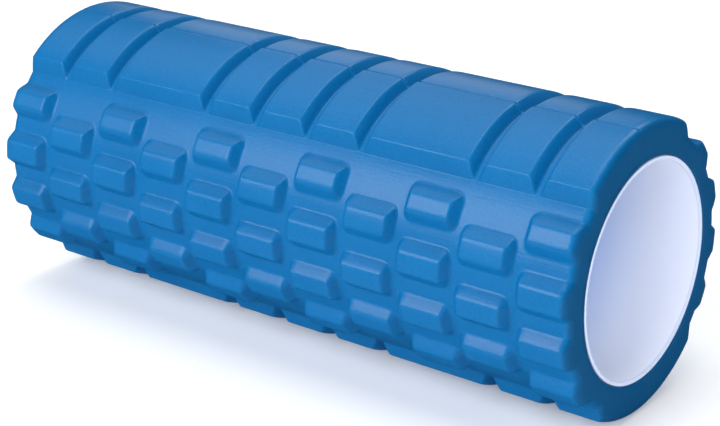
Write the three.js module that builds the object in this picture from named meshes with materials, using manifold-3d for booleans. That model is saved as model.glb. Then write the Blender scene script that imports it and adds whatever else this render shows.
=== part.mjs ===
// Hollow-core massage roller: a rigid plastic tube inside a moulded closed-cell foam sleeve.
// Units are millimetres, +X along the roller's axis, +Z up. The origin is on the surface that
// the roller lies on, under the middle of its length.
//
// Angles run about the roller's axis, from +Y (0 deg) over the top (+Z, 90 deg) to -Y (180 deg).
// The sleeve is two identical half shells. They meet on two seams, and the second half is the
// first one turned half a turn about the axis. Each half carries part of two bands of plain ribs
// next to its seams, and a field of raised pads between them.

import * as THREE from 'three';
import { mergeVertices } from 'three/addons/utils/BufferGeometryUtils.js';
import { ConvexGeometry } from 'three/addons/geometries/ConvexGeometry.js';
import Module from 'manifold-3d';

const wasm = await Module();
wasm.setup();

// ---- Driving dimensions -------------------------------------------------------------------

const LENGTH = 340;              // both ends of the tube and the sleeve are flush
const OUTER_R = 70;              // over the ribs
const RELIEF = 5.2;              // height of the ribs and pads above the sleeve's ground
const TUBE_OUTER_R = 52.6;
const TUBE_WALL = 2.2;
const TUBE_EDGE = 0.3;           // broken outer edges at the tube's ends
const TUBE_LIP = 1.4;            // wider chamfer round the mouth at both ends
const GLUE_GAP = 0.3;            // between tube and foam, and between the two halves
const END_CHAMFER = 2.4;         // on the outer edge of the sleeve's ends

const FACETS = 64;               // flats round the roller; one lies flat at the very bottom
const SEAM_DEG = 98.4375;        // top seam; the other one is opposite

// Ribs: the lanes between them, along the axis, and how they end towards the pads.
const LANE_X = [-141.75, -110.25, -47.25, -15.75, 15.75, 47.25, 110.25, 141.75];
const LANE_TOP = 9.0;            // width of a lane between the rib tops
const LANE_FLOOR = 2.8;          // width of a lane at the ground
const RIB_DEG = { groundLow: 57.3, topLow: 62.3, topHigh: 132.2, groundHigh: 137.8 };

// Pads: seven rows, alternately six and five long, staggered by half a pitch.
const PAD_PITCH_X = 63;
const PAD_ROWS_DEG = [152.3, 163.4, 174.5, 185.7, 196.8, 207.9, 219.2];
const PAD_HALF_X = [14.0, 10.9, 10.2]; // half length at the foot, at the shoulder and on top
const PAD_CORNER = 3.4;          // how much of a pad's corners is cut off at the foot
// Across a pad, on the side towards the ribs before it and on the side towards those after it:
// foot, shoulder and edge of the flat top from the middle, and how far the shoulder lies below
// the top. The walls lean with the draft of the mould, so they change from row to row.
const PAD_UP = [
  [9.9, 4.9, 2.3, 0.93], [9.9, 4.9, 2.3, 0.93], [9.6, 5.0, 2.3, 1.0], [9.2, 5.1, 2.3, 1.15],
  [8.9, 5.3, 3.4, 0.9], [8.8, 5.35, 3.4, 0.92], [8.7, 5.4, 3.4, 0.95],
];
const PAD_DOWN = [
  [9.1, 5.25, 3.6, 0.8], [9.1, 5.25, 3.6, 0.8], [9.2, 5.2, 3.6, 0.77], [9.3, 5.1, 3.2, 0.8],
  [9.3, 5.1, 2.3, 1.12], [9.6, 5.0, 2.3, 1.0], [9.9, 4.9, 2.3, 0.93],
];

const FOAM_COLOUR = 0x1a74bc;
const TUBE_COLOUR = 0xe6eaf2;

// ---- Helpers ------------------------------------------------------------------------------

const rad = THREE.MathUtils.degToRad;
const STEP = 360 / FACETS;
const GROUND_R = OUTER_R - RELIEF;
const ROOT_R = GROUND_R - 1.4;   // ribs and pads start inside the shell, so that they join it

// Point at x, angle and radius.
const polar = (x, deg, r) => new THREE.Vector3(x, r * Math.cos(rad(deg)), r * Math.sin(rad(deg)));

// Radius at an angle of a FACETS-sided cylinder whose flats are r from the axis, with the middle
// of a flat at 270 deg.
function flatR(r, deg) {
  const off = deg - STEP * Math.round(deg / STEP);
  return r / Math.cos(rad(off));
}

// Corner angles of the flats that lie strictly between two angles.
function corners(low, high) {
  const out = [];
  for (let k = Math.ceil(low / STEP - 0.5); (k + 0.5) * STEP < high; k++) {
    const a = (k + 0.5) * STEP;
    if (a > low + 0.4 && a < high - 0.4) out.push(a);
  }
  return out;
}

function toSolid(geometry) {
  const g = geometry.index ? geometry.toNonIndexed() : geometry.clone();
  for (const name of Object.keys(g.attributes)) if (name !== 'position') g.deleteAttribute(name);
  const m = mergeVertices(g, 1e-4);
  const tri = [];
  const idx = m.index.array;
  for (let i = 0; i < idx.length; i += 3) {
    const [a, b, c] = [idx[i], idx[i + 1], idx[i + 2]];
    if (a !== b && b !== c && c !== a) tri.push(a, b, c);
  }
  return new wasm.Manifold(new wasm.Mesh({
    numProp: 3,
    vertProperties: new Float32Array(m.attributes.position.array),
    triVerts: new Uint32Array(tri),
  }));
}

function toGeometry(solid) {
  const mesh = solid.getMesh();
  const g = new THREE.BufferGeometry();
  g.setAttribute('position', new THREE.BufferAttribute(new Float32Array(mesh.vertProperties), 3));
  g.setIndex(new THREE.BufferAttribute(new Uint32Array(mesh.triVerts), 1));
  g.computeVertexNormals();
  return g;
}

// Closed body through a row of four-cornered sections, capped at both ends.
function loft(sections) {
  const pos = [];
  const tri = [];
  const n = sections[0].length;
  for (const s of sections) for (const p of s) pos.push(p.x, p.y, p.z);
  for (let i = 0; i + 1 < sections.length; i++) {
    for (let j = 0; j < n; j++) {
      const a = i * n + j, b = i * n + (j + 1) % n;
      tri.push(a, b, b + n, a, b + n, a + n);
    }
  }
  const last = (sections.length - 1) * n;
  for (let j = 1; j + 1 < n; j++) {
    tri.push(0, j + 1, j);
    tri.push(last, last + j, last + j + 1);
  }
  const g = new THREE.BufferGeometry();
  g.setAttribute('position', new THREE.Float32BufferAttribute(pos, 3));
  g.setIndex(tri);
  return g;
}

// Body of revolution about X from a closed profile of [x, r] points, with its flats in line
// with those of the sleeve.
function revolve(profile) {
  const points = profile.map(([x, r]) => new THREE.Vector2(r / Math.cos(Math.PI / FACETS), x));
  points.push(points[0].clone());
  const g = new THREE.LatheGeometry(points, FACETS, rad(STEP / 2), Math.PI * 2);
  g.rotateZ(-Math.PI / 2);
  return g;
}

// ---- Tube ---------------------------------------------------------------------------------

function tubeGeometry() {
  const h = LENGTH / 2;
  const ri = TUBE_OUTER_R - TUBE_WALL;
  return revolve([
    [-h, ri + TUBE_LIP], [-h, TUBE_OUTER_R - TUBE_EDGE], [-h + TUBE_EDGE, TUBE_OUTER_R],
    [h - TUBE_EDGE, TUBE_OUTER_R], [h, TUBE_OUTER_R - TUBE_EDGE], [h, ri + TUBE_LIP],
    [h - TUBE_LIP, ri], [-h + TUBE_LIP, ri],
  ]);
}

// ---- One half of the sleeve ---------------------------------------------------------------

// Half shell from the tube out to the ground between the ribs and pads. It reaches a little past
// both seams and is trimmed there afterwards.
function groundShell() {
  const low = SEAM_DEG - 1, high = SEAM_DEG + 181;
  const angles = [low, ...corners(low, high), high];
  const inner = TUBE_OUTER_R + GLUE_GAP;
  const at = (r) => (a) => new THREE.Vector2(flatR(r, a) * Math.cos(rad(a)), flatR(r, a) * Math.sin(rad(a)));
  const outline = [...angles.map(at(GROUND_R)), ...angles.map(at(inner)).reverse()];
  const g = new THREE.ExtrudeGeometry(new THREE.Shape(outline), { depth: LENGTH, bevelEnabled: false });
  // The shape's plane becomes Y-Z and the extrusion runs along X.
  g.applyMatrix4(new THREE.Matrix4().makeBasis(
    new THREE.Vector3(0, 1, 0), new THREE.Vector3(0, 0, 1), new THREE.Vector3(1, 0, 0)));
  g.translate(-LENGTH / 2, 0, 0);
  return g;
}

// One rib between two lanes. Its flanks slope into the lanes and its two ends slope down to the
// ground; cut names the end that runs through a seam and has no slope of its own.
function rib(x0, x1, deg, shift, cut) {
  const slope = (LANE_TOP - LANE_FLOOR) / 2 / RELIEF;
  const deep = (GROUND_R - ROOT_R) * slope;
  const foot = (LANE_TOP - LANE_FLOOR) / 2 + deep;
  const past = 6;                // the end ribs run past the sleeve's ends and are trimmed there
  const lowEnd = x0 <= -LENGTH / 2, highEnd = x1 >= LENGTH / 2;
  const t0 = lowEnd ? x0 - past : x0 + LANE_TOP / 2, t1 = highEnd ? x1 + past : x1 - LANE_TOP / 2;
  const f0 = lowEnd ? t0 : t0 - foot, f1 = highEnd ? t1 : t1 + foot;
  const k = (GROUND_R - ROOT_R) / RELIEF;
  let topLow = deg.topLow + shift, topHigh = deg.topHigh + shift;
  let rootLow = deg.groundLow + shift - k * (deg.topLow - deg.groundLow);
  let rootHigh = deg.groundHigh + shift + k * (deg.groundHigh - deg.topHigh);
  if (cut === 'low') rootLow = topLow = SEAM_DEG + shift - 1;
  if (cut === 'high') rootHigh = topHigh = SEAM_DEG + shift + 1;
  const inner = corners(topLow, topHigh);
  const section = (aRoot, aTop) => [
    polar(f0, aRoot, ROOT_R), polar(f1, aRoot, ROOT_R),
    polar(t1, aTop, flatR(OUTER_R, aTop)), polar(t0, aTop, flatR(OUTER_R, aTop)),
  ];
  return loft([section(rootLow, topLow), ...inner.map((a) => section(a, a)), section(rootHigh, topHigh)]);
}

// One pad: a low block with cut corners, sloping sides, a shoulder all round and a flat top.
function pad(x, deg, up, down) {
  const points = [];
  const c = Math.cos(rad(deg)), s = Math.sin(rad(deg));
  // v runs round the roller, towards smaller angles; w is the distance from the axis.
  const put = (u, v, w) => {
    for (const su of [-1, 1]) points.push(new THREE.Vector3(x + su * u, w * c + v * s, w * s - v * c));
  };
  const [fx, sx, tx] = PAD_HALF_X;
  for (const [sign, [foot, shoulder, top, drop]] of [[1, up], [-1, down]]) {
    const ground = Math.sqrt(GROUND_R ** 2 - foot ** 2);
    const high = Math.sqrt((OUTER_R - drop) ** 2 - shoulder ** 2);
    const k = (high - (ground - 1.6)) / (high - ground);
    const rx = sx + (fx - sx) * k, rv = shoulder + (foot - shoulder) * k;
    put(rx, sign * (rv - PAD_CORNER), ground - 1.6);
    put(rx - PAD_CORNER, sign * rv, ground - 1.6);
    put(sx, sign * (shoulder - 1.5), high);
    put(sx - 1.2, sign * shoulder, high);
    put(tx, sign * (top - 0.8), Math.sqrt(OUTER_R ** 2 - top ** 2));
    put(tx - 0.8, sign * top, Math.sqrt(OUTER_R ** 2 - top ** 2));
  }
  return new ConvexGeometry(points);
}

function halfSleeve() {
  let solid = toSolid(groundShell());
  const lanes = [-LENGTH / 2, ...LANE_X, LENGTH / 2];
  for (let i = 0; i + 1 < lanes.length; i++) {
    solid = solid.add(toSolid(rib(lanes[i], lanes[i + 1], RIB_DEG, 0, 'low')));
    solid = solid.add(toSolid(rib(lanes[i], lanes[i + 1], RIB_DEG, 180, 'high')));
  }
  PAD_ROWS_DEG.forEach((deg, row) => {
    const count = row % 2 === 0 ? 6 : 5;
    for (let i = 0; i < count; i++) {
      solid = solid.add(toSolid(pad((i - (count - 1) / 2) * PAD_PITCH_X, deg, PAD_UP[row], PAD_DOWN[row])));
    }
  });

  // Trim to length, with a chamfer on the outer edge of both ends.
  const h = LENGTH / 2;
  const far = OUTER_R + 4;
  const envelope = toSolid(revolve([
    [-h, 40], [-h, OUTER_R - END_CHAMFER], [-h + far - (OUTER_R - END_CHAMFER), far],
    [h - far + (OUTER_R - END_CHAMFER), far], [h, OUTER_R - END_CHAMFER], [h, 40],
  ]));
  solid = solid.intersect(envelope);

  // Trim both seams: everything on the far side of the plane through them goes.
  const cutter = new THREE.BoxGeometry(LENGTH + 40, 200, 200);
  cutter.translate(0, 100 - GLUE_GAP / 2, 0);
  cutter.rotateX(rad(SEAM_DEG - 90));
  return solid.subtract(toSolid(cutter));
}

// ---- Assembly -----------------------------------------------------------------------------

const foam = () => new THREE.MeshStandardMaterial({ color: FOAM_COLOUR, roughness: 0.62, metalness: 0 });

const coreTube = new THREE.Mesh(
  toGeometry(toSolid(tubeGeometry())),
  new THREE.MeshStandardMaterial({ color: TUBE_COLOUR, roughness: 0.4, metalness: 0 }),
);
coreTube.name = 'core_tube';

const half = toGeometry(halfSleeve());

const sleeveFront = new THREE.Mesh(half, foam());
sleeveFront.name = 'foam_sleeve_front';

const sleeveRear = new THREE.Mesh(half.clone(), foam());
sleeveRear.name = 'foam_sleeve_rear';
sleeveRear.rotation.x = Math.PI;

const roller = new THREE.Group();
roller.add(coreTube, sleeveFront, sleeveRear);
roller.position.z = OUTER_R;

const part = new THREE.Group();
part.add(roller);

export default part;
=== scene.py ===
import math

import bpy
import numpy as np
from mathutils import Matrix, Vector


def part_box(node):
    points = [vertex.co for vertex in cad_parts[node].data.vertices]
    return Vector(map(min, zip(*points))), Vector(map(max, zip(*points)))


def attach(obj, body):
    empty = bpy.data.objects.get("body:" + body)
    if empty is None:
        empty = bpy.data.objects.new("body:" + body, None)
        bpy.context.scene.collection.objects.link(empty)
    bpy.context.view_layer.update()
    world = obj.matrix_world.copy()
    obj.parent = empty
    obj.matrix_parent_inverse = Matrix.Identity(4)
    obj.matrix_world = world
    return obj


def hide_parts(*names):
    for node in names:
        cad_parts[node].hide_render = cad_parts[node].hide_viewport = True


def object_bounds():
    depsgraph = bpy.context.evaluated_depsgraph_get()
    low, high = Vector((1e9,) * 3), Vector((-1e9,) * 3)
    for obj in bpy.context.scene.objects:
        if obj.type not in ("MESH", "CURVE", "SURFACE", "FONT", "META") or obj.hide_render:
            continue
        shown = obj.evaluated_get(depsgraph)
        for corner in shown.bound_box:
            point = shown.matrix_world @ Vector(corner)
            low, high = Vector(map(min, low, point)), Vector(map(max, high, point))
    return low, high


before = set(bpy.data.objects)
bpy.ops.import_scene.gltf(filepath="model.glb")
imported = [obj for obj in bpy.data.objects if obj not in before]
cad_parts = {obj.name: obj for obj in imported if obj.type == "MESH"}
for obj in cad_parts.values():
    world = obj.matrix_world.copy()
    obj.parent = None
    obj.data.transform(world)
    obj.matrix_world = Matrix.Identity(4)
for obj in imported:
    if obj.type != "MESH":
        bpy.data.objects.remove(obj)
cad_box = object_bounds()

# ---- Where things are, from the frame (millimetres from here on) --------------------------
tube_lo, tube_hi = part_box("core_tube")
HALF = tube_hi[0] * 1000.0
AXIS_Z = (cad_box[0][2] + cad_box[1][2]) * 500.0
OUTER_R = (cad_box[1][2] - cad_box[0][2]) * 500.0
TUBE_R = (tube_hi[2] - tube_lo[2]) * 500.0

# ---- The sleeve's relief, as in the CAD model ---------------------------------------------
RELIEF = 5.2
GROUND_R = OUTER_R - RELIEF
SEAM = 98.4375
LANES = [-141.75, -110.25, -47.25, -15.75, 15.75, 47.25, 110.25, 141.75]
LANE_FLOOR, LANE_RUN = 1.4, 3.1       # half the floor, and how far a flank runs
LANE_JOG = 1.1                        # how much wider the lanes are between the low ribs, on the +X side
RIB_HIGH = (132.2, 137.8)             # top edge and foot of the ribs' ends towards the pads
RIB_LOW = (62.3 + 180.0, 57.3 + 180.0)
PAD_ROWS = [152.3, 163.4, 174.5, 185.7, 196.8, 207.9, 219.2]
PAD_PITCH = 63.0
PAD_X, PAD_FLAT_X, PAD_ROUND_X = 14.0, 10.2, 1.3   # half length at the foot and on top, edge radius
PAD_CORNER = 4.3                      # radius of a pad's corners at its foot
# For each row of pads: flat half width, edge radius and wall angle on the side towards the
# high ribs, then the same three on the other side. The walls lean with the mould's draft.
PAD_UP = [(2.3, 4.0, 39.0), (2.3, 4.0, 39.5), (2.3, 4.0, 42.0), (2.3, 3.4, 45.0),
          (3.4, 2.6, 49.0), (3.4, 2.6, 50.0), (3.4, 2.6, 51.0)]
PAD_DOWN = [(2.0, 4.2, 50.0), (2.9, 3.0, 50.0), (3.6, 2.2, 49.0), (3.2, 2.6, 46.0),
            (2.3, 4.0, 44.0), (2.3, 4.0, 42.0), (2.3, 4.0, 40.0)]
END_FILLET = 4.0
SEAM_GAP = 0.28                       # each half keeps this far from the plane through the seams


def smin(a, b, k):
    h = np.clip(0.5 + 0.5 * (b - a) / k, 0.0, 1.0)
    return b * (1 - h) + a * h - k * h * (1 - h)


def smax(a, b, k):
    return -smin(-a, -b, k)


def step(a, b, x):
    t = np.clip((x - a) / (b - a), 0.0, 1.0)
    return t * t * (3 - 2 * t)


def wall(distance, flat, radius, angle):
    """Height at a distance from the middle: flat, then an arc, then a straight wall at an angle."""
    w = math.radians(angle)
    e = distance - flat
    reach = radius * math.sin(w)
    arc = RELIEF - radius + np.sqrt(radius * radius - np.clip(e, 0, reach) ** 2)
    return np.where(e > reach, RELIEF - radius * (1 - math.cos(w)) - (e - reach) * math.tan(w), arc)


def foot(flat, radius, angle):
    w = math.radians(angle)
    return flat + radius * math.sin(w) + (RELIEF - radius * (1 - math.cos(w))) / math.tan(w)


def pad_height(u, v, side):
    """Height of a pad at u along the axis and v across from its middle; u and v are not negative."""
    reach = foot(*side)
    slope_v = math.tan(math.radians(side[2]))
    slope_x = RELIEF / (PAD_X - PAD_FLAT_X - 0.35)
    h = smin(wall(u, PAD_FLAT_X, PAD_ROUND_X, math.degrees(math.atan(slope_x))), wall(v, *side), 0.7)
    p = np.clip(1 - (PAD_X - u) / PAD_CORNER, 0, None)
    q = np.clip(1 - (reach - v) / PAD_CORNER, 0, None)
    w = q * q / (p * p + q * q + 1e-9)
    corner = (1 - np.hypot(p, q)) * PAD_CORNER * (slope_x * (1 - w) + slope_v * w)
    return np.where((p > 0) & (q > 0), smin(h, corner, 0.5), h)


def relief(x, deg):
    """Height over the ground at x (mm along the axis) and deg (angle), for one half."""
    # Ribs: flanks towards the lanes, and sloping ends towards the pads.
    jog = LANE_JOG * (deg > 200)
    before = np.full_like(x, 99.0)        # flank of the rib on a lane's -X side, with a rounder edge
    after = np.full_like(x, 99.0)         # flank of the rib on its +X side
    for lane in LANES:
        t = x - lane
        before = np.minimum(before, np.where(t > 0, 99.0, (-t - LANE_FLOOR) * RELIEF / LANE_RUN))
        after = np.minimum(after, np.where(t > 0, (t - jog - LANE_FLOOR) * RELIEF / LANE_RUN, 99.0))
    high = (RIB_HIGH[1] - deg) / (RIB_HIGH[1] - RIB_HIGH[0]) * RELIEF
    low = (deg - RIB_LOW[1]) / (RIB_LOW[0] - RIB_LOW[1]) * RELIEF
    top = np.full_like(x, RELIEF)
    ribs = smin(np.maximum(high, low), top, 0.3)
    ribs = smin(ribs, smin(before, top, 2.0), 0.3)
    ribs = smin(ribs, smin(after, top, 0.8), 0.3)
    # Pads.
    pads = np.full_like(x, -99.0)
    for i, row in enumerate(PAD_ROWS):
        v = (row - deg) * math.pi / 180 * 66.0
        count = 6 if i % 2 == 0 else 5
        for j in range(count):
            u = np.abs(x - (j - (count - 1) / 2) * PAD_PITCH)
            for side, part in ((PAD_UP[i], v >= 0), (PAD_DOWN[i], v < 0)):
                m = part & (np.abs(v) < foot(*side) + 1.5) & (u < PAD_X + 1.5)
                pads[m] = np.maximum(pads[m], pad_height(u[m], np.abs(v[m]), side))
    both = np.where(ribs > pads, smax(ribs, np.zeros_like(x), 0.12), smax(pads, np.zeros_like(x), 0.5))
    # A thin web left by the mould crosses each lane at the seams.
    d = np.minimum(deg - SEAM, SEAM + 180.0 - deg) * math.pi / 180 * GROUND_R
    web = 1.3 * np.clip(1.4 - d / 0.8, 0, 1) * (1 - step(3.2, 4.6, both))
    return both + web


# ---- Grid lines, closer together where the surface bends ----------------------------------
def spaced(stops, steps):
    """Values from stops[0] to stops[-1]; steps[i] is the largest spacing between stop i and i + 1."""
    out = [stops[0]]
    for a, b, s in zip(stops, stops[1:], steps):
        n = max(1, int(math.ceil((b - a) / s - 1e-9)))
        out += [a + (b - a) * (k + 1) / n for k in range(n)]
    return np.array(out)


def sleeve_columns():
    centres = [(k + 0.5) * 31.5 for k in range(-5, 5)]
    stops, steps = [-(HALF - END_FILLET)], []
    for c in centres:
        lo, hi = c - 7.6, c + 7.6
        if lo > stops[-1]:
            stops.append(lo)
            steps.append(2.2)
        stops.append(hi)
        steps.append(0.66)
    stops.append(HALF - END_FILLET)
    steps.append(2.2)
    return spaced(stops, steps)


def sleeve_rows(gap):
    a, b = SEAM, SEAM + 180.0
    d = 57.3 / GROUND_R
    return spaced(
        [a + gap * d, a + (gap + 0.5) * d, a + (gap + 1.5) * d, 128.0, 131.9, 132.5, 137.5, 138.1,
         141.5, 229.5, 237.0, 237.6, 242.0, 242.6, 245.5,
         b - (gap + 1.5) * d, b - (gap + 0.5) * d, b - gap * d],
        [0.2, 0.3, 2.2, 0.6, 0.15, 0.6, 0.15, 0.6, 0.5, 0.6, 0.15, 0.6, 0.15, 0.6, 2.2, 0.3, 0.2],
    )


def build(name, verts, faces):
    me = bpy.data.meshes.new(name)
    me.from_pydata((np.asarray(verts) * 0.001).tolist(), [], faces)
    me.update()
    ob = bpy.data.objects.new(name, me)
    bpy.context.scene.collection.objects.link(ob)
    return ob


def sleeve(name, turn):
    cols = sleeve_columns()
    rows = sleeve_rows(SEAM_GAP)
    n_end = 7
    t = np.linspace(0, math.pi / 2, n_end + 1)[1:]
    # Outer line along the axis: x and how much the end's rounding takes off the radius.
    xs = np.concatenate([
        -(HALF - END_FILLET + END_FILLET * np.sin(t))[::-1], cols, HALF - END_FILLET + END_FILLET * np.sin(t)])
    drop = np.concatenate([(END_FILLET * (1 - np.cos(t)))[::-1], np.zeros(len(cols)), END_FILLET * (1 - np.cos(t))])
    X, D = np.meshgrid(xs, rows)
    H = relief(X, D)
    R = GROUND_R + H
    # The lines at the ends keep the height that the sleeve has where its rounding starts.
    R = R - drop[None, :]
    # Edges along the seams are slightly rounded.
    depth = np.minimum(D - rows[0], rows[-1] - D) * GROUND_R / 57.3
    R = R - 0.35 * np.clip(1 - depth / 0.5, 0, 1) ** 2
    # In the lanes and on the end faces the two halves nearly touch.
    close = (SEAM_GAP - 0.02) * 57.3 / GROUND_R
    shut = close * np.maximum(1 - step(3.2, 4.6, H), step(HALF - 3.6, HALF - 1.6, np.abs(X)))
    D[0] -= shut[0]
    D[-1] += shut[-1]
    inner = TUBE_R + 0.25
    # The inside of the sleeve and the two end faces.
    ins_x = np.array([HALF, HALF, HALF, HALF - 0.5, 0.0, -(HALF - 0.5), -HALF, -HALF, -HALF])
    end_r = R[:, -1]
    w = np.array([0.33, 0.72])
    def lane(k):
        if k in (0, 1):
            return end_r + (inner + 0.5 - end_r) * w[k]
        if k in (7, 8):
            return R[:, 0] + (inner + 0.5 - R[:, 0]) * w[8 - k]
        return np.full(len(rows), inner + (0.5 if k in (2, 6) else 0.0))
    X = np.concatenate([X, np.repeat(ins_x[None, :], len(rows), 0)], 1)
    R = np.concatenate([R] + [lane(k)[:, None] for k in range(9)], 1)
    n = X.shape[1]
    flat = rows.copy()
    flat[0] -= close
    flat[-1] += close
    A = np.radians(np.concatenate([D, np.repeat(flat[:, None], 9, 1)], 1)) + math.radians(turn)
    P = np.stack([X, R * np.cos(A), R * np.sin(A) + AXIS_Z], -1).reshape(-1, 3)
    m = len(rows)
    I = np.arange(m * n).reshape(m, n)
    J = np.roll(I, -1, axis=1)
    quads = np.stack([I[:-1], J[:-1], J[1:], I[1:]], -1).reshape(-1, 4)
    faces = quads.tolist()
    faces.append(I[0][::-1].tolist())
    faces.append(I[-1].tolist())
    ob = build(name, P, faces)
    me = ob.data
    me.polygons.foreach_set("use_smooth", np.ones(len(me.polygons), bool))
    me.polygons[-1].use_smooth = False
    me.polygons[-2].use_smooth = False
    # A map with x along the axis and the arc length round it, in metres, for the surface pattern.
    uv = me.uv_layers.new(name="arc")
    loops = np.empty(len(me.loops), np.int32)
    me.loops.foreach_get("vertex_index", loops)
    U = X.reshape(-1) * 0.001
    V = (np.repeat(rows[:, None], n, 1) * math.pi / 180 * OUTER_R * 0.001).reshape(-1)
    uv.data.foreach_set("uv", np.stack([U[loops], V[loops]], -1).reshape(-1).astype(np.float32))
    at = me.attributes.new("height", "FLOAT", "POINT")
    height = np.concatenate([H, np.zeros((m, 9))], 1)
    at.data.foreach_set("value", (height.reshape(-1) / RELIEF).astype(np.float32))
    return ob


front = sleeve("sleeve_front_skin", 0.0)
rear = sleeve("sleeve_rear_skin", 180.0)


# ---- Tube: rounded lips, smooth wall ------------------------------------------------------
def tube(name):
    wall, lip = 2.0, 1.0
    ro, ri = TUBE_R - 0.02, TUBE_R - wall
    pts = []
    for side in (-1, 1):
        t = np.linspace(0, math.pi / 2, 7)
        outer = [(side * (HALF - 0.3), ro), (side * (HALF - 0.09), ro - 0.09), (side * HALF, ro - 0.3)]
        inner = [(side * (HALF - lip * (1 - math.cos(a))), ri + lip * (1 - math.sin(a))) for a in t]
        line = outer + inner
        pts += line[::-1] if side < 0 else [(HALF * k / 6, ro) for k in range(-5, 6)] + line
    pts += [(HALF * k / 6, ri) for k in range(5, -6, -1)]
    prof = np.array(pts)
    m, n = 192, len(prof)
    A = np.linspace(0, 2 * math.pi, m, endpoint=False)[:, None]
    P = np.stack([
        np.repeat(prof[None, :, 0], m, 0), prof[None, :, 1] * np.cos(A), prof[None, :, 1] * np.sin(A) + AXIS_Z,
    ], -1).reshape(-1, 3)
    I = np.arange(m * n).reshape(m, n)
    J = np.roll(I, -1, axis=1)
    I2, J2 = np.roll(I, -1, axis=0), np.roll(J, -1, axis=0)
    ob = build(name, P, np.stack([I, J, J2, I2], -1).reshape(-1, 4).tolist())
    me = ob.data
    me.polygons.foreach_set("use_smooth", np.ones(len(me.polygons), bool))
    return ob


core = tube("tube_skin")


# ---- Materials ----------------------------------------------------------------------------
def new_material(name):
    m = bpy.data.materials.new(name)
    m.use_nodes = True
    nt = m.node_tree
    nt.nodes.clear()
    out = nt.nodes.new("ShaderNodeOutputMaterial")
    bsdf = nt.nodes.new("ShaderNodeBsdfPrincipled")
    nt.links.new(bsdf.outputs[0], out.inputs[0])
    return m, nt, bsdf


def node(nt, kind, **props):
    n = nt.nodes.new(kind)
    inputs = props.pop("inputs", {})
    for k, v in props.items():
        setattr(n, k, v)
    for k, v in inputs.items():
        n.inputs[k].default_value = v
    return n


def foam_material():
    m, nt, bsdf = new_material("sleeve_foam")
    L = nt.links.new
    co = node(nt, "ShaderNodeTexCoord")
    # Slow colour drift and a fine speckle of closed cells.
    drift = node(nt, "ShaderNodeTexNoise", inputs={"Scale": 14.0, "Detail": 3.0, "Roughness": 0.55})
    L(co.outputs["Object"], drift.inputs["Vector"])
    speck = node(nt, "ShaderNodeTexNoise", inputs={"Scale": 900.0, "Detail": 2.0, "Roughness": 0.6})
    L(co.outputs["Object"], speck.inputs["Vector"])
    ramp = node(nt, "ShaderNodeMapRange", inputs={"From Min": 0.3, "From Max": 0.7, "To Min": 0.0, "To Max": 1.0})
    L(drift.outputs["Fac"], ramp.inputs["Value"])
    mix = node(nt, "ShaderNodeMix", data_type="RGBA")
    mix.inputs[6].default_value = (0.0015, 0.133, 0.358, 1)
    mix.inputs[7].default_value = (0.0020, 0.144, 0.384, 1)
    L(ramp.outputs["Result"], mix.inputs[0])
    mix2 = node(nt, "ShaderNodeMix", data_type="RGBA", blend_type="MULTIPLY")
    ramp2 = node(nt, "ShaderNodeMapRange", inputs={"From Min": 0.3, "From Max": 0.7, "To Min": 0.90, "To Max": 1.08})
    L(speck.outputs["Fac"], ramp2.inputs["Value"])
    mix2.inputs[0].default_value = 1.0
    L(mix.outputs[2], mix2.inputs[6])
    L(ramp2.outputs["Result"], mix2.inputs[7])
    # The end faces, with the last of their rounding, are painted darker: painted shade.
    place = node(nt, "ShaderNodeSeparateXYZ")
    L(co.outputs["Object"], place.inputs["Vector"])
    along = node(nt, "ShaderNodeMath", operation="ABSOLUTE")
    L(place.outputs["X"], along.inputs[0])
    end_shade_mask = node(nt, "ShaderNodeMapRange", interpolation_type="SMOOTHSTEP",
               inputs={"From Min": 0.1672, "From Max": 0.1698, "To Min": 0.0, "To Max": 1.0})
    L(along.outputs[0], end_shade_mask.inputs["Value"])
    end_shade = node(nt, "ShaderNodeMix", data_type="RGBA", blend_type="MULTIPLY")
    # painted shade: the colour that darkens the end faces
    end_shade.inputs[7].default_value = (0.40, 0.66, 0.67, 1)
    L(end_shade_mask.outputs["Result"], end_shade.inputs[0])
    L(mix2.outputs[2], end_shade.inputs[6])
    L(end_shade.outputs[2], bsdf.inputs["Base Color"])
    rough = node(nt, "ShaderNodeMapRange", inputs={"From Min": 0.3, "From Max": 0.7, "To Min": 0.28, "To Max": 0.34})
    L(drift.outputs["Fac"], rough.inputs["Value"])
    L(rough.outputs["Result"], bsdf.inputs["Roughness"])
    bsdf.inputs["Specular IOR Level"].default_value = 0.30
    bump = node(nt, "ShaderNodeBump", inputs={"Strength": 0.25, "Distance": 0.0003})
    L(speck.outputs["Fac"], bump.inputs["Height"])
    # Faint streaks along the axis, left in the skin by the mould.
    arc = node(nt, "ShaderNodeUVMap", uv_map="arc")
    stretch = node(nt, "ShaderNodeMapping")
    stretch.inputs["Scale"].default_value = (28.0, 700.0, 1.0)
    L(arc.outputs["UV"], stretch.inputs["Vector"])
    streak = node(nt, "ShaderNodeTexNoise", inputs={"Scale": 1.0, "Detail": 3.0, "Roughness": 0.65})
    L(stretch.outputs["Vector"], streak.inputs["Vector"])
    bump2 = node(nt, "ShaderNodeBump", inputs={"Strength": 0.5, "Distance": 0.00016})
    L(streak.outputs["Fac"], bump2.inputs["Height"])
    L(bump.outputs["Normal"], bump2.inputs["Normal"])
    L(bump2.outputs["Normal"], bsdf.inputs["Normal"])
    return m


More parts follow.
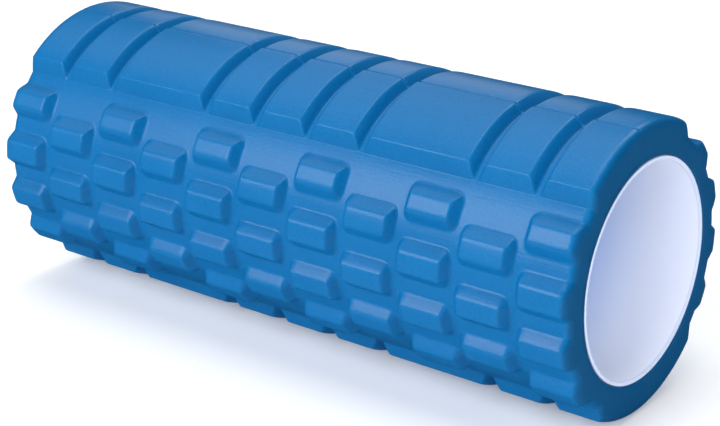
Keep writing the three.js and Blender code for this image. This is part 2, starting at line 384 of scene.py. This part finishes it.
def tube_material():
    m, nt, bsdf = new_material("tube_plastic")
    L = nt.links.new
    co = node(nt, "ShaderNodeTexCoord")
    cloud = node(nt, "ShaderNodeTexNoise", inputs={"Scale": 9.0, "Detail": 3.0, "Roughness": 0.5})
    L(co.outputs["Object"], cloud.inputs["Vector"])
    mix = node(nt, "ShaderNodeMix", data_type="RGBA")
    mix.inputs[6].default_value = (0.75, 0.795, 0.915, 1)
    mix.inputs[7].default_value = (0.78, 0.815, 0.925, 1)
    L(cloud.outputs["Fac"], mix.inputs[0])
    # Darker and bluer away from the mouths: painted shade deep inside the tube, together with the blue foam showing
    # through the thin wall.
    place = node(nt, "ShaderNodeSeparateXYZ")
    L(co.outputs["Object"], place.inputs["Vector"])
    along = node(nt, "ShaderNodeMath", operation="ABSOLUTE")
    L(place.outputs["X"], along.inputs[0])
    deep = node(nt, "ShaderNodeMapRange", interpolation_type="SMOOTHSTEP",
                inputs={"From Min": 0.150, "From Max": 0.08, "To Min": 0.0, "To Max": 1.0})
    L(along.outputs[0], deep.inputs["Value"])
    blue_tint_and_shade = node(nt, "ShaderNodeMix", data_type="RGBA")
    # painted shade with a blue show-through: the colour deep inside the tube
    blue_tint_and_shade.inputs[7].default_value = (0.33, 0.545, 0.93, 1)
    L(deep.outputs["Result"], blue_tint_and_shade.inputs[0])
    L(mix.outputs[2], blue_tint_and_shade.inputs[6])
    # The cut rim is painted darker and bluer than the wall: painted shade that tones down its bright ring.
    rim_shade_mask = node(nt, "ShaderNodeMapRange", interpolation_type="SMOOTHSTEP",
               inputs={"From Min": 0.1686, "From Max": 0.1695, "To Min": 0.0, "To Max": 1.0})
    L(along.outputs[0], rim_shade_mask.inputs["Value"])
    rim_shade = node(nt, "ShaderNodeMix", data_type="RGBA")
    # painted shade: the colour of the rim
    rim_shade.inputs[7].default_value = (0.47, 0.54, 0.71, 1)
    L(rim_shade_mask.outputs["Result"], rim_shade.inputs[0])
    L(blue_tint_and_shade.outputs[2], rim_shade.inputs[6])
    L(rim_shade.outputs[2], bsdf.inputs["Base Color"])
    rough = node(nt, "ShaderNodeMapRange", inputs={"From Min": 0.3, "From Max": 0.7, "To Min": 0.38, "To Max": 0.48})
    L(cloud.outputs["Fac"], rough.inputs["Value"])
    L(rough.outputs["Result"], bsdf.inputs["Roughness"])
    return m


foam = foam_material()
plastic = tube_material()
for ob in (front, rear):
    ob.data.materials.append(foam)
    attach(ob, "root")
core.data.materials.append(plastic)
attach(core, "root")
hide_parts("foam_sleeve_front")
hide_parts("foam_sleeve_rear")
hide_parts("core_tube")


# ---- Floor, light and camera --------------------------------------------------------------
def plane(name, size, z):
    s = size / 2
    ob = build(name, [(-s, -s, z), (s, -s, z), (s, s, z), (-s, s, z)], [[0, 1, 2, 3]])
    return ob


floor = plane("floor", 12000.0, 0.0)
m, nt, bsdf = new_material("floor_white")
bsdf.inputs["Base Color"].default_value = (0.93, 0.935, 0.94, 1)
bsdf.inputs["Roughness"].default_value = 0.8
bsdf.inputs["Emission Color"].default_value = (1.0, 1.0, 1.0, 1)
bsdf.inputs["Emission Strength"].default_value = 0.17
floor.data.materials.append(m)
floor.visible_glossy = False          # a matt studio sheet, so that it isn't mirrored in the foam


def area(name, size, energy, at, to, colour=(1, 1, 1)):
    light = bpy.data.lights.new(name, "AREA")
    light.shape = "RECTANGLE"
    light.size, light.size_y = size
    light.energy = energy
    light.color = colour
    ob = bpy.data.objects.new(name, light)
    ob.location = at
    ob.rotation_mode = "QUATERNION"
    ob.rotation_quaternion = (Vector(to) - Vector(at)).to_track_quat("-Z", "Y")
    bpy.context.scene.collection.objects.link(ob)
    return ob


def soft(name, direction, size, energy, colour=(1, 1, 1)):
    v = Vector(direction).normalized() * 2.2 + Vector((0, 0, 0.07))
    return area(name, (size, size), energy, v, (0, 0, 0.07), colour)


soft("key", (-0.39, -0.76, 0.52), 1.25, 28.5)
soft("top", (0.0, 0.0, 1.0), 1.2, 12.0)
soft("left", (-0.42, 0.16, 0.89), 1.9, 11.5)
soft("back", (0.0, 0.6, 0.8), 1.0, 11.0)
soft("side", (-0.56, 0.75, 0.36), 0.8, 2.0)
front_fill = soft("front", (0.1, -0.95, 0.3), 1.0, 15.0)
right_fill = soft("fill", (0.55, -0.65, 0.52), 1.0, 12.0)
rear_fill = soft("rear", (0.15, 0.93, 0.30), 1.0, 13.0)
end_fill = soft("end", (0.90, 0.0, 0.43), 1.0, 10.0)
for ob in (front_fill, right_fill, rear_fill, end_fill):
    ob.visible_glossy = False         # these only lift the shadows
mouth = area("mouth", (0.55, 0.55), 3.0, (0.66, -0.20, 0.09), (0.17, 0.0, 0.07))
lit = bpy.data.collections.new("lit_by_mouth")
lit.objects.link(core)
mouth.light_linking.receiver_collection = lit

world = bpy.data.worlds.new("studio")
world.use_nodes = True
world.node_tree.nodes["Background"].inputs[0].default_value = (1.0, 1.0, 1.0, 1)
world.node_tree.nodes["Background"].inputs[1].default_value = 0.01
bpy.context.scene.world = world

cam_data = bpy.data.cameras.new("camera")
cam = bpy.data.objects.new("camera", cam_data)
bpy.context.scene.collection.objects.link(cam)
cam_data.sensor_fit = "HORIZONTAL"
cam_data.sensor_width = 36.0
cam_data.lens = 92.88
cam_data.shift_x, cam_data.shift_y = -0.01043, -0.06118
cam_data.clip_start, cam_data.clip_end = 0.01, 50.0
cam.matrix_world = Matrix((
    (0.79596906, -0.20233729, 0.57051983, 0.53261110),
    (0.60533731, 0.26605699, -0.75018692, -0.68124744),
    (0.0, 0.94248252, 0.33425544, 0.31853550 + AXIS_Z * 0.001),
    (0.0, 0.0, 0.0, 1.0),
))
bpy.context.scene.camera = cam
bpy.context.scene.view_settings.view_transform = "Standard"
bpy.context.view_layer.update()
